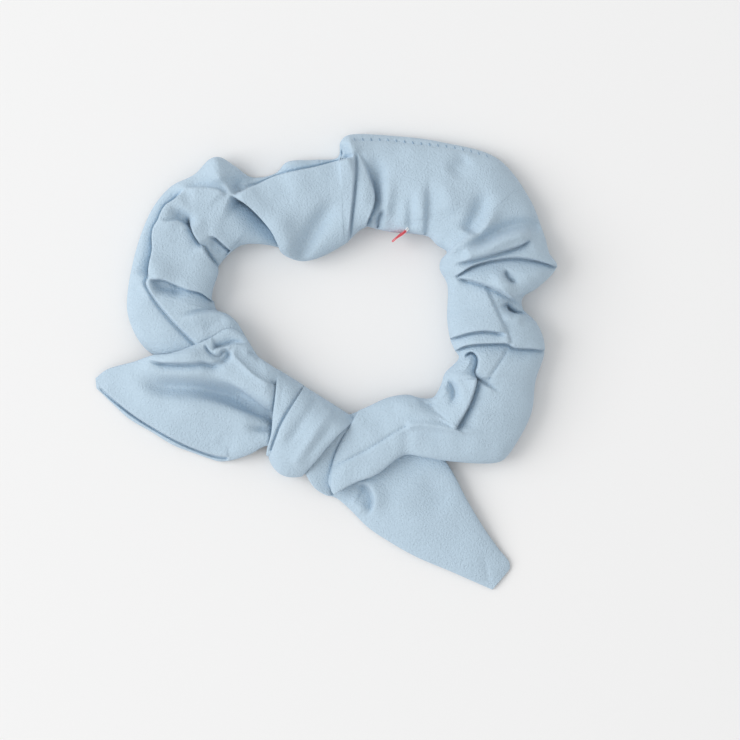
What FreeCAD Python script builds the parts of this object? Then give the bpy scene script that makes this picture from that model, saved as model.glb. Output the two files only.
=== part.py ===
import FreeCAD, Part

import math
import os
import re

import Sketcher
from FreeCAD import Vector

# Knotted scrunchie: a gathered fabric tube closed into a ring round a flat elastic loop,
# with a pointed sash tied round its front. It lies flat on a surface.
# Frame: millimetres, +Z up, origin under the middle of the whole outline, the back of the
# ring towards +Y, the knot and both tails towards -Y.

DIMENSIONS = {
    # Ring, in plan: centrelines of its four sides and the radii of its corners.
    "left_x": -58.0,
    "right_x": 66.0,
    "back_y": 66.5,
    "knee_y": 8.0,
    "knot_exit_x": 8.0,
    "knot_exit_y": -31.5,
    "front_right_y": -24.0,
    "strap_end_x": 12.0,
    "back_left_radius": 27.0,
    "back_right_radius": 28.0,
    "knee_radius": 16.0,
    "knot_exit_radius": 10.0,
    "front_right_radius": 18.0,
    # Where the ring is divided: the stretching sides lie between the front and the back.
    "left_front_y": 18.0,
    "left_back_y": 36.0,
    "right_front_y": -4.0,
    "right_back_y": 36.0,
    # Casing sections. The front one is squeezed by the knot and lifted by the sash under it.
    "left_width": 33.0,
    "right_width": 38.0,
    "back_width": 37.0,
    "strap_width": 24.0,
    "gather_width": 16.0,
    "ring_height": 16.0,
    "ring_lift": 0.0,
    "front_height": 9.0,
    "front_lift": 3.5,
    "wall": 1.0,
    # Flat elastic and the seam thread that lie inside the casing.
    "elastic_height": 6.0,
    "elastic_thickness": 1.2,
    "elastic_lift": 5.0,
    "elastic_inset": 3.0,
    "thread_size": 0.6,
    "thread_gap": 0.2,
    "thread_lift": 7.7,
    # Knot: its height and the room it leaves the casing.
    "knot_height": 16.0,
    "knot_clearance": 0.25,
    "knot_edge": 2.5,
    # Sash: two layers of cloth with air between them.
    "sash_thickness": 3.0,
    # Label, folded ribbon standing on its edge.
    "label_length": 7.2,
    "label_thickness": 1.0,
    "label_height": 6.0,
    "label_lift": 5.0,
    "label_x": 29.6,
    "label_y": 47.2,
    "label_angle": 215.0,
    # Stitches.
    "stitch_length": 2.0,
    "stitch_pitch": 2.8,
    "stitch_diameter": 0.5,
    "topstitch_start_x": 15.0,
    "join_x": -12.0,
}

# Plan outlines of the knot and of the parts of the sash that lie on the surface: x, y.
OUTLINES = {
    "knot": {
        "low_left": (-20.0, -38.0),
        "low_right": (5.0, -46.0),
        "top_right": (8.0, -18.0),
        "top_left": (-20.0, -2.5),
    },
    "sash_under_strap": {
        "inner_left": (9.0, -24.0),
        "inner_right": (44.0, -20.0),
        "outer_right": (50.0, -40.4),
        "outer_left": (9.0, -45.7),
    },
    "right_tail": {
        "root_left": (9.5, -46.7),
        "swell": (14.0, -62.0),
        "curve": (27.0, -70.5),
        "tip_left": (60.0, -85.0),
        "tip_right": (67.0, -79.0),
        "waist": (57.0, -62.0),
        "root_right": (50.0, -41.4),
    },
}

# Left tail: cross sections from the knot to the tip. Each has its x, then the y and z of the
# underside at its upper edge, at its bend over the casing and at its lower edge.
TAIL_SECTIONS = {
    "root": (-22.5, {"upper": (-6.0, 13.0), "bend": (-24.5, 13.0), "lower": (-30.0, 9.0)}),
    "swell": (-47.0, {"upper": (5.4, 13.0), "bend": (-10.0, 13.0), "lower": (-34.0, 0.0)}),
    "waist": (-58.0, {"upper": (3.0, 13.0), "bend": (-6.0, 13.0), "lower": (-27.0, 0.0)}),
    "tip": (-85.0, {"upper": (-5.5, 0.0), "bend": (-7.2, 0.0), "lower": (-9.0, 0.0)}),
}

doc = FreeCAD.newDocument("scrunchie")
sheet = doc.addObject("Spreadsheet::Sheet", "Sizes")
exported = []


def all_dimensions():
    """Every driving dimension with its alias, those of the outlines and sections included."""
    dimensions = dict(DIMENSIONS)
    for piece, corners in OUTLINES.items():
        for corner, (x, y) in corners.items():
            dimensions[f"{piece}_{corner}_x"] = x
            dimensions[f"{piece}_{corner}_y"] = y
    for section, (x, edges) in TAIL_SECTIONS.items():
        dimensions[f"tail_{section}_x"] = x
        for edge, (y, z) in edges.items():
            dimensions[f"tail_{section}_{edge}_y"] = y
            dimensions[f"tail_{section}_{edge}_z"] = z
    return dimensions


def fill_sheet():
    """Writes the driving dimensions to the spreadsheet, one row each."""
    for row, (alias, size) in enumerate(all_dimensions().items(), start=1):
        sheet.set(f"A{row}", alias)
        sheet.set(f"B{row}", str(size))
        sheet.setAlias(f"B{row}", alias)
    doc.recompute()


def expression(formula):
    """The FreeCAD expression of a formula of aliases, such as 'left_width - 2 * wall'."""
    return re.sub(r"[a-z]+_[a-z_]+|wall", r"Sizes.\g<0>", str(formula))


def value(formula):
    """What a formula of aliases comes to, in millimetres or degrees."""
    return float(sheet.evalExpression(expression(formula)))


def new_body(label):
    body = doc.addObject("PartDesign::Body", label)
    body.Label = label
    exported.append(body)
    return body


def new_shape(label, shape):
    """A sub-part whose shape is worked out here, because it is a row of small solids."""
    feature = doc.addObject("Part::Feature", label)
    feature.Label = label
    feature.Shape = shape
    exported.append(feature)
    return feature


def new_sketch(body, name, role, offset=None):
    """A sketch on one of the body's origin planes, moved along the plane's normal."""
    sketch = body.newObject("Sketcher::SketchObject", name)
    support = next(f for f in body.Origin.OriginFeatures if f.Role == role)
    sketch.AttachmentSupport = (support, [""])
    sketch.MapMode = "FlatFace"
    if offset is not None:
        sketch.setExpression("AttachmentOffset.Base.z", expression(offset))
    return sketch


def dimension(sketch, kind, references, formula):
    """Adds a dimension to a sketch and ties it to the spreadsheet."""
    index = sketch.addConstraint(Sketcher.Constraint(kind, *references, value(formula)))
    sketch.setExpression(f"Constraints[{index}]", expression(formula))


def pin_point(sketch, geometry, end, x, y):
    """Fixes one point of a sketch from its origin."""
    dimension(sketch, "DistanceX", (-1, 1, geometry, end), x)
    dimension(sketch, "DistanceY", (-1, 1, geometry, end), y)


def point(x, y):
    return Vector(value(x), value(y), 0)


def add_outline(sketch, corners):
    """A closed polygon with its corners at (x, y) formulas."""
    places = [point(x, y) for x, y in corners]
    count = len(places)
    for i, place in enumerate(places):
        sketch.addGeometry(Part.LineSegment(place, places[(i + 1) % count]), False)
    for i, (x, y) in enumerate(corners):
        sketch.addConstraint(Sketcher.Constraint("Coincident", i, 2, (i + 1) % count, 1))
        pin_point(sketch, i, 1, x, y)


def add_named_outline(sketch, piece):
    """The outline of a piece whose corners are in the spreadsheet."""
    add_outline(sketch, [(f"{piece}_{c}_x", f"{piece}_{c}_y") for c in OUTLINES[piece]])


def add_rectangle(sketch, centre, bottom, width, height):
    """A rectangular section."""
    left, right = f"{centre} - ({width}) / 2", f"{centre} + ({width}) / 2"
    top = f"{bottom} + {height}"
    add_outline(sketch, [(left, bottom), (right, bottom), (right, top), (left, top)])


def add_stadium(sketch, centre, bottom, width, height):
    """A flat-bottomed section with half-round sides."""
    first = sketch.GeometryCount
    straight = f"({width}) - ({height})"
    low, radius = value(bottom), value(height) / 2
    left = value(f"{centre} - ({straight}) / 2")
    right = value(f"{centre} + ({straight}) / 2")
    corners = [(left, low), (right, low), (right, low + 2 * radius), (left, low + 2 * radius)]
    corners = [Vector(x, y, 0) for x, y in corners]
    right_round = Part.Circle(Vector(right, low + radius, 0), Vector(0, 0, 1), radius)
    left_round = Part.Circle(Vector(left, low + radius, 0), Vector(0, 0, 1), radius)
    sketch.addGeometry(Part.LineSegment(corners[0], corners[1]), False)
    sketch.addGeometry(Part.ArcOfCircle(right_round, -math.pi / 2, math.pi / 2), False)
    sketch.addGeometry(Part.LineSegment(corners[2], corners[3]), False)
    sketch.addGeometry(Part.ArcOfCircle(left_round, math.pi / 2, 3 * math.pi / 2), False)
    for i in range(4):
        following = first + (i + 1) % 4
        sketch.addConstraint(Sketcher.Constraint("Tangent", first + i, 2, following, 1))
    sketch.addConstraint(Sketcher.Constraint("Horizontal", first))
    sketch.addConstraint(Sketcher.Constraint("Horizontal", first + 2))
    dimension(sketch, "DistanceX", (first, 1, first, 2), straight)
    dimension(sketch, "DistanceY", (first, 1, first + 2, 2), height)
    pin_point(sketch, first, 1, f"{centre} - ({straight}) / 2", bottom)


def add_route(sketch, start, corners, end):
    """A route of straight runs joined by tangent arcs. A corner is (x, y, radius)."""
    stops = [point(*start), *[point(x, y) for x, y, _ in corners], point(*end)]
    tangent_points = [stops[0]]
    arcs = []
    for i, (_, _, radius) in enumerate(corners, start=1):
        before = (stops[i] - stops[i - 1]).normalize()
        after = (stops[i + 1] - stops[i]).normalize()
        turn = before.getAngle(after)
        side = 1 if before.cross(after).z > 0 else -1
        reach = value(radius) * math.tan(turn / 2)
        enter, leave = stops[i] - before * reach, stops[i] + after * reach
        centre = enter + Vector(-before.y, before.x, 0) * (side * value(radius))
        tangent_points += [enter, leave]
        arcs.append((centre, value(radius), enter, leave, side))
    tangent_points.append(stops[-1])
    runs = [
        sketch.addGeometry(Part.LineSegment(a, b), False)
        for a, b in zip(tangent_points[::2], tangent_points[1::2])
    ]
    for i, (centre, radius, enter, leave, side) in enumerate(arcs):
        first, last = (enter, leave) if side > 0 else (leave, enter)
        angles = [math.atan2((p - centre).y, (p - centre).x) for p in (first, last)]
        circle = Part.Circle(centre, Vector(0, 0, 1), radius)
        arc = sketch.addGeometry(Part.ArcOfCircle(circle, *angles), False)
        near, far = (1, 2) if side > 0 else (2, 1)
        sketch.addConstraint(Sketcher.Constraint("Tangent", runs[i], 2, arc, near))
        sketch.addConstraint(Sketcher.Constraint("Tangent", arc, far, runs[i + 1], 1))
        dimension(sketch, "Radius", (arc,), corners[i][2])
        corner = sketch.addGeometry(Part.Point(stops[i + 1]), True)
        sketch.addConstraint(Sketcher.Constraint("PointOnObject", corner, 1, runs[i]))
        sketch.addConstraint(Sketcher.Constraint("PointOnObject", corner, 1, runs[i + 1]))
        pin_point(sketch, corner, 1, corners[i][0], corners[i][1])
    pin_point(sketch, runs[0], 1, *start)
    pin_point(sketch, runs[-1], 2, *end)


def sweep(body, name, profile, spine, cut=False):
    """Sweeps a profile sketch along a spine sketch, to add or to cut."""
    kind = "PartDesign::SubtractivePipe" if cut else "PartDesign::AdditivePipe"
    pipe = body.newObject(kind, name)
    pipe.Profile = (profile, [""])
    pipe.Spine = (spine, [""])
    body.Tip = pipe
    return pipe


# The ring's routes: start, corners and end.
FRONT_START = ("left_x", "left_front_y")
KNEE = ("left_x", "knee_y", "knee_radius")
KNOT_EXIT = ("knot_exit_x", "knot_exit_y", "knot_exit_radius")
FRONT_RIGHT = ("right_x", "front_right_y", "front_right_radius")
FRONT_SLOPE = "(front_right_y - knot_exit_y) / (right_x - knot_exit_x)"
STRAP_END_Y = f"knot_exit_y + (strap_end_x - knot_exit_x) * {FRONT_SLOPE}"
STRAP_END = ("strap_end_x", STRAP_END_Y)
RIGHT_START = ("right_x", "right_front_y")
BACK_START = ("left_x", "left_back_y")
BACK_LEFT = ("left_x", "back_y", "back_left_radius")
BACK_RIGHT = ("right_x", "back_y", "back_right_radius")
BACK_END = ("right_x", "right_back_y")

GATHER_ROUTE = (FRONT_START, [KNEE, KNOT_EXIT], STRAP_END)
STRAP_ROUTE = (RIGHT_START, [FRONT_RIGHT], STRAP_END)
FRONT_ROUTE = (FRONT_START, [KNEE, KNOT_EXIT, FRONT_RIGHT], RIGHT_START)
BACK_ROUTE = (BACK_START, [BACK_LEFT, BACK_RIGHT], BACK_END)


def add_casing_section(sketch, centre, width, height, lift):
    """The outside and the inside of the fabric tube."""
    add_stadium(sketch, centre, lift, width, height)
    add_stadium(sketch, centre, f"{lift} + wall", f"{width} - 2 * wall", f"{height} - 2 * wall")


def add_elastic_section(sketch, centre, inward):
    """The flat elastic on its edge, set in from the middle of the casing."""
    middle = f"{centre} + {inward} * elastic_inset"
    add_rectangle(sketch, middle, "elastic_lift", "elastic_thickness", "elastic_height")


def add_thread_section(sketch, centre, inward, width):
    """The seam thread, just inside the casing's outer edge."""
    reach = f"(({width}) / 2 - wall - thread_gap - thread_size / 2)"
    middle = f"{centre} - {inward} * {reach}"
    add_rectangle(sketch, middle, "thread_lift", "thread_size", "thread_size")


def bent_piece(label, route, add_section, *sizes):
    """A piece that follows a route from its start, which lies on a plane of constant y."""
    body = new_body(label)
    spine = new_sketch(body, label + "_route", "XY_Plane")
    add_route(spine, *route)
    section = new_sketch(body, label + "_section", "XZ_Plane", f"-1 * {route[0][1]}")
    add_section(section, route[0][0], *sizes)
    sweep(body, label + "_sweep", section, spine)


def straight_piece(label, x, front, back, add_section, *sizes):
    """A piece that runs along +Y from front to back."""
    body = new_body(label)
    section = new_sketch(body, label + "_section", "XZ_Plane", f"-1 * {front}")
    add_section(section, x, *sizes)
    pad = body.newObject("PartDesign::Pad", label + "_pad")
    pad.Profile = section
    pad.setExpression("Length", expression(f"{back} - {front}"))
    pad.Reversed = True
    body.Tip = pad


def make_casing():
    """The gathered fabric tube, divided where it is squeezed and where it stretches."""
    gather = ("gather_width", "front_height", "front_lift")
    bent_piece("casing_front_left", GATHER_ROUTE, add_casing_section, *gather)
    strap = ("strap_width", "front_height", "front_lift")
    bent_piece("casing_front_right", STRAP_ROUTE, add_casing_section, *strap)
    back = ("back_width", "ring_height", "ring_lift")
    bent_piece("casing_back", BACK_ROUTE, add_casing_section, *back)
    for side in ("left", "right"):
        sizes = (f"{side}_width", "ring_height", "ring_lift")
        ends = (f"{side}_x", f"{side}_front_y", f"{side}_back_y")
        straight_piece(f"casing_{side}_side", *ends, add_casing_section, *sizes)


def make_elastic():
    """The closed elastic loop, divided where the ring stretches."""
    bent_piece("elastic_front", FRONT_ROUTE, add_elastic_section, 1)
    bent_piece("elastic_back", BACK_ROUTE, add_elastic_section, 1)
    for side, inward in (("left", 1), ("right", -1)):
        ends = (f"{side}_x", f"{side}_front_y", f"{side}_back_y")
        straight_piece(f"elastic_{side}_side", *ends, add_elastic_section, inward)


def make_seam_thread():
    """The thread of the casing's lengthwise seam, along the outer edge."""
    bent_piece("seam_thread_gather", GATHER_ROUTE, add_thread_section, 1, "gather_width")
    bent_piece("seam_thread_strap", STRAP_ROUTE, add_thread_section, -1, "strap_width")
    bent_piece("seam_thread_back", BACK_ROUTE, add_thread_section, 1, "left_width")
    for side, inward in (("left", 1), ("right", -1)):
        ends = (f"{side}_x", f"{side}_front_y", f"{side}_back_y")
        sizes = (inward, f"{side}_width")
        straight_piece(f"seam_thread_{side}_side", *ends, add_thread_section, *sizes)


def make_knot():
    """The sash's wrap, pierced by the squeezed casing and rounded all over."""
    body = new_body("knot")
    outline = new_sketch(body, "knot_outline", "XY_Plane")
    add_named_outline(outline, "knot")
    pad = body.newObject("PartDesign::Pad", "knot_pad")
    pad.Profile = outline
    pad.setExpression("Length", expression("knot_height"))
    body.Tip = pad
    doc.recompute()
    sides_and_top = [
        f"Edge{i}"
        for i, edge in enumerate(pad.Shape.Edges, start=1)
        if edge.CenterOfMass.z > value("knot_height") / 4
    ]
    rounding = body.newObject("PartDesign::Fillet", "knot_rounding")
    rounding.Base = (pad, sides_and_top)
    rounding.setExpression("Radius", expression("knot_edge"))
    body.Tip = rounding
    doc.recompute()
    route = new_sketch(body, "knot_bore_route", "XY_Plane")
    add_route(route, *GATHER_ROUTE)
    section = new_sketch(body, "knot_bore_section", "XZ_Plane", f"-1 * {FRONT_START[1]}")
    room = "2 * knot_clearance"
    bottom = "front_lift - knot_clearance"
    add_stadium(section, "left_x", bottom, f"gather_width + {room}", f"front_height + {room}")
    sweep(body, "knot_bore", section, route, cut=True)


def make_left_tail():
    """The tail that drapes over the gathered casing and comes down to a point."""
    body = new_body("left_tail")
    sections = []
    for name, (_, edges) in TAIL_SECTIONS.items():
        sketch = new_sketch(body, f"left_tail_{name}", "YZ_Plane", f"tail_{name}_x")
        under = [(f"tail_{name}_{edge}_y", f"tail_{name}_{edge}_z") for edge in edges]
        over = [(y, f"{z} + sash_thickness") for y, z in reversed(under)]
        add_outline(sketch, under + over)
        sections.append(sketch)
    doc.recompute()
    loft = body.newObject("PartDesign::AdditiveLoft", "left_tail_loft")
    loft.Profile = (sections[0], [""])
    loft.Sections = [(s, [""]) for s in sections[1:]]
    loft.Ruled = True
    body.Tip = loft


def make_flat_piece(label):
    """A part of the sash that lies flat on the surface."""
    body = new_body(label)
    sketch = new_sketch(body, label + "_outline", "XY_Plane")
    add_named_outline(sketch, label)
    pad = body.newObject("PartDesign::Pad", label + "_pad")
    pad.Profile = sketch
    pad.setExpression("Length", expression("sash_thickness"))
    body.Tip = pad


def make_label():
    """The folded ribbon label, standing on its edge inside the ring."""
    body = new_body("label")
    sketch = new_sketch(body, "label_outline", "XY_Plane", "label_lift")
    low, high = "-1 * label_thickness / 2", "label_thickness / 2"
    add_outline(sketch, [("0", low), ("label_length", low), ("label_length", high), ("0", high)])
    pad = body.newObject("PartDesign::Pad", "label_pad")
    pad.Profile = sketch
    pad.setExpression("Length", expression("label_height"))
    body.Tip = pad
    body.setExpression("Placement.Base.x", expression("label_x"))
    body.setExpression("Placement.Base.y", expression("label_y"))
    body.setExpression("Placement.Rotation.Angle", expression("label_angle"))


def stitch(middle, direction, length):
    """One stitch: a short thread, centred on a point."""
    radius = value("stitch_diameter") / 2
    start = middle - direction * (length / 2)
    return Part.makeCylinder(radius, length, start, direction)


def make_closing_topstitch():
    """The stitches that close the casing, in a row along the outer edge at the back right."""
    flat_reach = value("(back_width - ring_height) / 2")
    z = value("ring_height + stitch_diameter / 2")
    radius = value("back_right_radius")
    centre = Vector(value("right_x") - radius, value("back_y") - radius, z)
    start_x, pitch = value("topstitch_start_x"), value("stitch_pitch")
    length = value("stitch_length")
    row_radius = radius + flat_reach
    stitches = []
    x = start_x
    while x < centre.x:
        middle = Vector(x, value("back_y") + flat_reach, z)
        stitches.append(stitch(middle, Vector(1, 0, 0), length))
        x += pitch
    angle = math.pi / 2 - (x - centre.x) / row_radius
    while angle > math.pi / 3:
        outward = Vector(math.cos(angle), math.sin(angle), 0)
        along = Vector(math.sin(angle), -math.cos(angle), 0)
        stitches.append(stitch(centre + outward * row_radius, along, length))
        angle -= pitch / row_radius
    new_shape("closing_topstitch", Part.makeCompound(stitches))


def make_elastic_join():
    """The bar tack through the two lapped ends of the elastic, at the back."""
    y = value("back_y - elastic_inset")
    length = value("elastic_thickness + 2 * stitch_diameter")
    stitches = []
    for column in range(2):
        for row in range(3):
            x = value("join_x") + column * value("stitch_pitch")
            z = value("elastic_lift") + (row + 0.5) * value("elastic_height") / 3
            stitches.append(stitch(Vector(x, y, z), Vector(0, 1, 0), length))
    new_shape("elastic_join_stitches", Part.makeCompound(stitches))


def make_label_stitches():
    """The two stitches that hold the label's root at the casing's inner edge."""
    y = value("back_y - back_width / 2 - stitch_diameter / 2")
    middle_z = value("label_lift + label_height / 2")
    x = value("label_x + 2.5 * label_thickness")
    stitches = [
        stitch(Vector(x, y, middle_z + side * value("stitch_length")), Vector(1, 0, 0), 1.5)
        for side in (-0.5, 0.5)
    ]
    new_shape("label_stitches", Part.makeCompound(stitches))


def check_and_export():
    """Stops on any failed object or bad shape, then writes one STEP file per sub-part."""
    doc.recompute()
    for item in doc.Objects:
        if "Invalid" in item.State or "Error" in item.State:
            raise RuntimeError(f"{item.Label} failed: {item.State}")
    os.makedirs("parts", exist_ok=True)
    for item in exported:
        shape = item.Shape
        if shape.isNull() or not shape.isValid() or not shape.Solids:
            raise RuntimeError(f"{item.Label} has no valid solid")
        shape.exportStep(f"parts/{item.Label}.step")
        box = shape.BoundBox
        reach = [f"{a:.1f}..{b:.1f}" for a, b in zip(
            (box.XMin, box.YMin, box.ZMin), (box.XMax, box.YMax, box.ZMax))]
        print(f"{item.Label:24s} {len(shape.Solids):3d} solids {shape.Volume:9.1f} mm3", *reach)


fill_sheet()
make_casing()
make_elastic()
make_seam_thread()
make_knot()
make_left_tail()
make_flat_piece("sash_under_strap")
make_flat_piece("right_tail")
make_label()
make_closing_topstitch()
make_elastic_join()
make_label_stitches()
check_and_export()
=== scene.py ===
"""The looks of the knotted scrunchie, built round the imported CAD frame.

Plan shapes are given in millimetres on the frame's own axes, seen from above: x to the right, y
towards the back of the ring. The cloth is made of closed two-layer pieces. Each one starts as a smooth
padded shape and then gets its folds, one by one, from strokes: short lines drawn in plan, each
with the height and width of its fold.
"""

import math

import bpy
import numpy as np
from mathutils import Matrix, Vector, noise
from mathutils.bvhtree import BVHTree


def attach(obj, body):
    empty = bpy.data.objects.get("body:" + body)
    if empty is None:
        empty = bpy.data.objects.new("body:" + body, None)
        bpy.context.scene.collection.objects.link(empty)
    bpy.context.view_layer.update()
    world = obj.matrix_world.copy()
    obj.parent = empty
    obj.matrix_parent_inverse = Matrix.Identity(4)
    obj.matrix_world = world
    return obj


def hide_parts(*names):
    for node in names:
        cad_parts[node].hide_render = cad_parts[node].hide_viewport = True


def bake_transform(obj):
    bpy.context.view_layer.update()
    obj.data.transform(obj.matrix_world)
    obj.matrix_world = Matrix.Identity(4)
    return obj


MM = 0.001
FLOOR_GAP = 0.3
RING_COLUMNS = 1300
TAIL_COLUMNS = 420
WRAP_COLUMNS = 300
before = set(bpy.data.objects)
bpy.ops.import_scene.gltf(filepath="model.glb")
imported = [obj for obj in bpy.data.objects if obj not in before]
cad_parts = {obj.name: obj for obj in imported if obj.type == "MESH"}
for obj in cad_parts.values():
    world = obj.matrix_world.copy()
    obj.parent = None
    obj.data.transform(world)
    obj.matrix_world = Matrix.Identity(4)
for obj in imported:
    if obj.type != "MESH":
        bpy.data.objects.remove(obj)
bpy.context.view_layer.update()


# ---------------------------------------------------------------- lines and strokes


def line_through(points, step=0.8, closed=False):
    """A smooth line through given points (a centripetal Catmull-Rom), about step apart."""
    p = np.array(points, float)
    if closed:
        p = np.vstack([p[-1:], p, p[:2]])
    else:
        p = np.vstack([2 * p[0] - p[1], p, 2 * p[-1] - p[-2]])
    knots = np.concatenate([[0], np.cumsum(np.linalg.norm(np.diff(p, axis=0), axis=1) ** 0.5)])
    out = []
    for i in range(1, len(p) - 2):
        count = max(2, int(np.linalg.norm(p[i + 1] - p[i]) / step) + 1)
        s = np.linspace(knots[i], knots[i + 1], count, endpoint=False)[:, None]
        k0, k1, k2, k3 = knots[i - 1 : i + 3]
        p0, p1, p2, p3 = p[i - 1 : i + 3]
        a1 = p0 + (p1 - p0) * (s - k0) / (k1 - k0)
        a2 = p1 + (p2 - p1) * (s - k1) / (k2 - k1)
        a3 = p2 + (p3 - p2) * (s - k2) / (k3 - k2)
        b1 = a1 + (a2 - a1) * (s - k0) / (k2 - k0)
        b2 = a2 + (a3 - a2) * (s - k1) / (k3 - k1)
        out.append(b1 + (b2 - b1) * (s - k1) / (k2 - k1))
    out.append(p[-2:-1])
    return np.vstack(out)


def smooth_step(x):
    x = np.clip(x, 0, 1)
    return x * x * (3 - 2 * x)


def evenly(line, count):
    """count points evenly spaced along a line."""
    along = np.concatenate([[0], np.cumsum(np.linalg.norm(np.diff(line, axis=0), axis=1))])
    wanted = np.linspace(0, along[-1], count)
    return np.stack([np.interp(wanted, along, line[:, k]) for k in range(line.shape[1])], axis=1)


class Cloth:
    """The points of one piece of cloth, in plan and height, and the folds laid into it.

    Strokes are measured on the plan as it was before any fold, so their order doesn't matter.
    touch says how much of a stroke each point takes: 1 on the upper layer, fading below it.
    """

    def __init__(self, plan, touch):
        self.plan = plan
        self.touch = touch
        self.lift = np.zeros(len(plan))
        self.shift = np.zeros_like(plan)

    def measure(self, points, ends, margin):
        """Which points a stroke reaches, how far off it they are, left positive, the direction
        to its left, and how strong the stroke is there: it fades over its two ends."""
        line = line_through(points)
        low, high = line.min(0) - margin, line.max(0) + margin
        near = np.where(((self.plan > low) & (self.plan < high)).all(1) & (self.touch > 0))[0]
        p = self.plan[near]
        run = np.diff(line, axis=0)
        length = np.linalg.norm(run, axis=1)
        before = np.concatenate([[0], np.cumsum(length)])
        best = np.full(len(near), 1e9)
        off, along = np.zeros(len(near)), np.zeros(len(near))
        left = np.zeros((len(near), 2))
        for start, step, size, past in zip(line, run, length, before):
            rel = p - start
            t = np.clip(rel @ step / size**2, 0, 1)
            gap = np.linalg.norm(rel - t[:, None] * step, axis=1)
            closer = gap < best
            best[closer] = gap[closer]
            side = np.sign(step[0] * rel[closer, 1] - step[1] * rel[closer, 0])
            off[closer] = gap[closer] * side
            along[closer] = (past + t[closer] * size) / before[-1]
            left[closer] = np.array([-step[1], step[0]]) / size
        fade_in, fade_out = ends
        strength = self.touch[near].copy()
        if fade_in:
            strength *= smooth_step(along / fade_in)
        if fade_out:
            strength *= smooth_step((1 - along) / fade_out)
        return near, off, left, strength

    def valley(self, points, depth, width, ends=(0.35, 0.35), pinch=0.0):
        """A crease with a sharp bottom between two soft sides."""
        near, off, left, strength = self.measure(points, ends, 6 * width + 3)
        bowl = np.exp(-(((off / width) ** 2 + 0.04) ** 0.5 - 0.2))
        self.lift[near] -= depth * strength * bowl
        pull = -np.sign(off) * pinch * strength * (1 - np.exp(-((off / 0.7) ** 2))) * bowl
        self.shift[near] += left * pull[:, None]

    def ridge(self, points, height, width, ends=(0.35, 0.35)):
        """A soft round swelling, or a soft hollow where height is negative."""
        near, off, left, strength = self.measure(points, ends, 4 * width)
        self.lift[near] += height * strength * np.exp(-((off / width) ** 2))

    def fold(self, points, lip, drop, reach, ends=(0.25, 0.25), lip_width=6.0, drop_width=3.0,
             turn=1.0, slot=1.5):
        """An overlap: the cloth on the line's left stands up and hangs over that on its right,
        with a narrow slot under its lip."""
        near, off, left, strength = self.measure(points, ends, 4 * max(lip_width, drop_width))
        upper = smooth_step(off / turn + 0.5)
        over = lip * np.exp(-((off / lip_width) ** 2))
        under = -1.15 * drop * np.exp(-(((off / drop_width) ** 2 + 0.04) ** 0.5 - 0.2))
        under -= slot * np.exp(-(((off + 0.65) / 0.38) ** 2))
        self.lift[near] += strength * (upper * over + (1 - upper) * under)
        slide = 0.5 * reach * np.exp(-((off / 2.5) ** 2)) * (0.4 - 1.4 * upper)
        self.shift[near] += left * (strength * slide)[:, None]

    def ripple(self, amount, size, seed):
        """Soft unevenness all over, as no cloth lies perfectly smooth."""
        for k in np.where(self.touch > 0.02)[0]:
            x, y = self.plan[k] / size
            self.lift[k] += amount * self.touch[k] * noise.noise((x, y, seed))


# ---------------------------------------------------------------- meshes


def new_piece(name, points, faces, material):
    """A smooth-shaded mesh piece from points in millimetres."""
    mesh = bpy.data.meshes.new(name)
    mesh.from_pydata((np.asarray(points, float) * MM).tolist(), [], faces)
    mesh.update()
    mesh.shade_smooth()
    mesh.materials.append(material)
    piece = bpy.data.objects.new(name, mesh)
    bpy.context.scene.collection.objects.link(piece)
    return piece


def relax(grid, rounds, closed, strength=0.5):
    """Averages a grid of points with its neighbours, to take the hardness out of the folds."""
    for _ in range(rounds):
        across = (np.roll(grid, 1, 1) + np.roll(grid, -1, 1)) / 2
        if closed:
            along = (np.roll(grid, 1, 0) + np.roll(grid, -1, 0)) / 2
        else:
            along = grid.copy()
            along[1:-1] = (grid[2:] + grid[:-2]) / 2
        grid = grid + strength * ((across + along) / 2 - grid)
    return grid


def sections(left, right, heights, count):
    """Cross-sections of a band, from its two edges and a row of heights for each pair."""
    table = np.hstack([np.array(left, float), np.array(right, float), np.array(heights, float)])
    return evenly(line_through(table), count)


def tube(table, rows_above, rows_below, fullness):
    """A flattened tube. Each row of the table is one cross-section: the left edge in plan, the
    right edge, their two heights, how far the cloth rises above the line between them and sinks
    below it, and how far the section's middle bows sideways."""
    phase = np.concatenate([
        np.linspace(0, math.pi, rows_above, endpoint=False),
        np.linspace(math.pi, 2 * math.pi, rows_below, endpoint=False),
    ])
    across = (1 - np.cos(phase)) / 2
    swell = np.sin(phase)
    left, right = table[:, None, 0:2], table[:, None, 2:4]
    left_z, right_z, rise, sink, bow = (table[:, k, None] for k in range(4, 9))
    plan = left + (right - left) * across[None, :, None]
    normal = np.concatenate([-(right - left)[..., 1:], (right - left)[..., :1]], axis=-1)
    normal /= np.linalg.norm(normal, axis=-1, keepdims=True) + 1e-9
    plan = plan + normal * (bow * 4 * across * (1 - across))[..., None]
    edge = left_z + (right_z - left_z) * across
    above = edge + rise * np.clip(swell, 0, 1) ** np.reshape(fullness, (-1, 1))
    below = edge - sink * np.clip(-swell, 0, 1) ** 0.65
    return plan, np.where(swell >= 0, above, below), swell


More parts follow.
